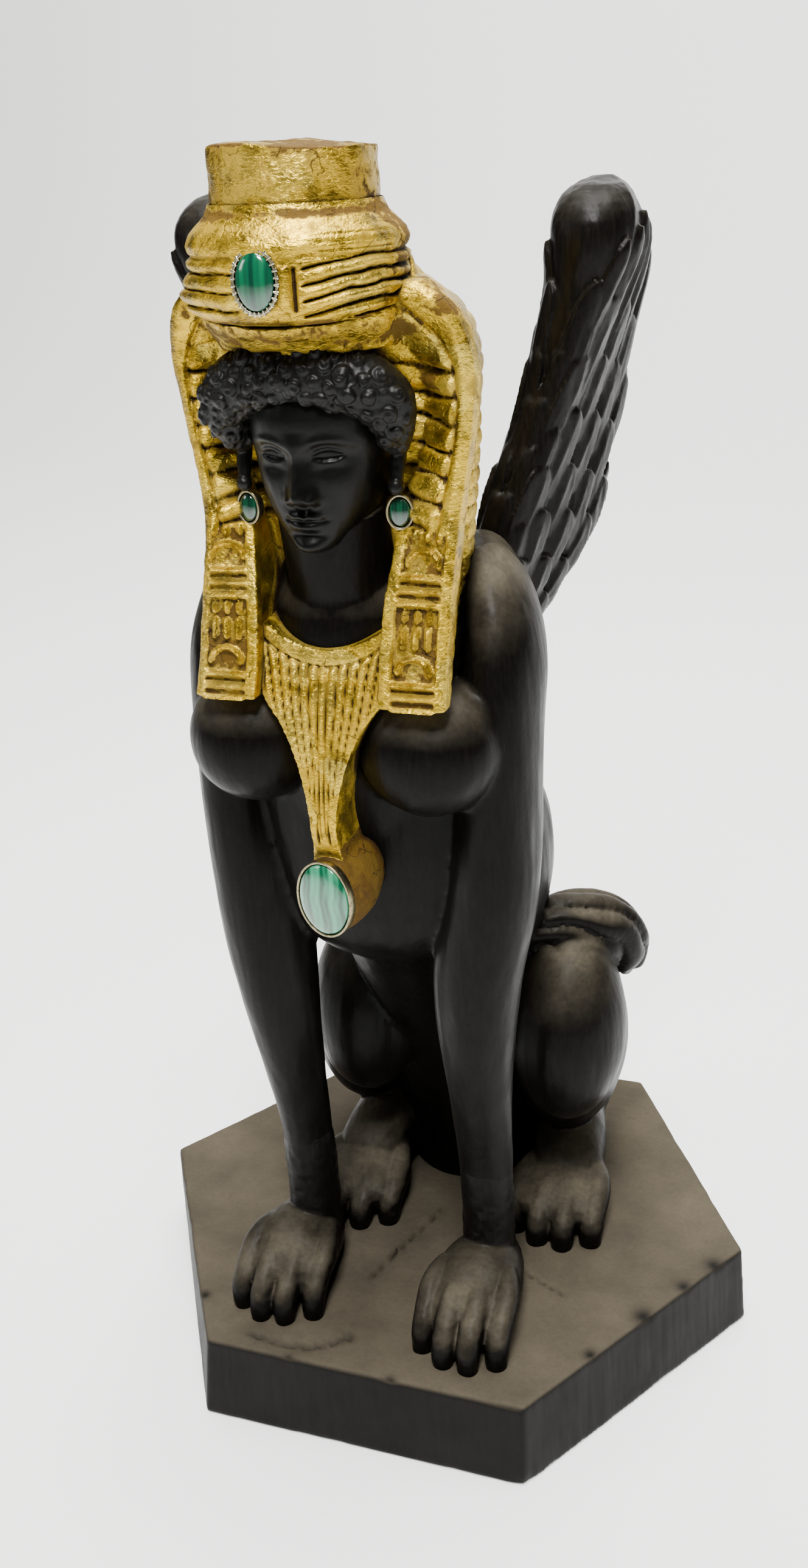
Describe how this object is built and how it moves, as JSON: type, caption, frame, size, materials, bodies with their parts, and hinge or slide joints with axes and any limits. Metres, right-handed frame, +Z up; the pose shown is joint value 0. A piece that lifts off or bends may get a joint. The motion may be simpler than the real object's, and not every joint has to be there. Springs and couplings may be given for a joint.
{
  "type": "sphinx statue",
  "caption": "Seated winged sphinx of blackened and part-gilded carved wood, with a royal headcloth, a block on its head and oval stones, on a hexagonal plinth.",
  "frame": {"origin": "centre of the plinth's underside", "axes": "+Z up, -Y the way the sphinx looks, +X the sphinx's own left side"},
  "size_m": [0.4082, 0.376, 0.7305],
  "materials": {
    "ebonised_wood": "satin",
    "gilded_wood": "gilded",
    "bezel_metal": "tarnished",
    "malachite": "polished"
  },
  "bodies": {
    "root": {"plinth": "ebonised_wood", "sphinx_figure": "ebonised_wood", "crown_block": "gilded_wood", "wing_left": "ebonised_wood", "wing_right": "ebonised_wood", "forehead_bezel": "bezel_metal", "forehead_stone": "malachite", "pendant_bezel": "bezel_metal", "pendant_stone": "malachite", "earring_left_bezel": "bezel_metal", "earring_left_stone": "malachite", "earring_right_bezel": "bezel_metal", "earring_right_stone": "malachite"}
  },
  "joints": []
}
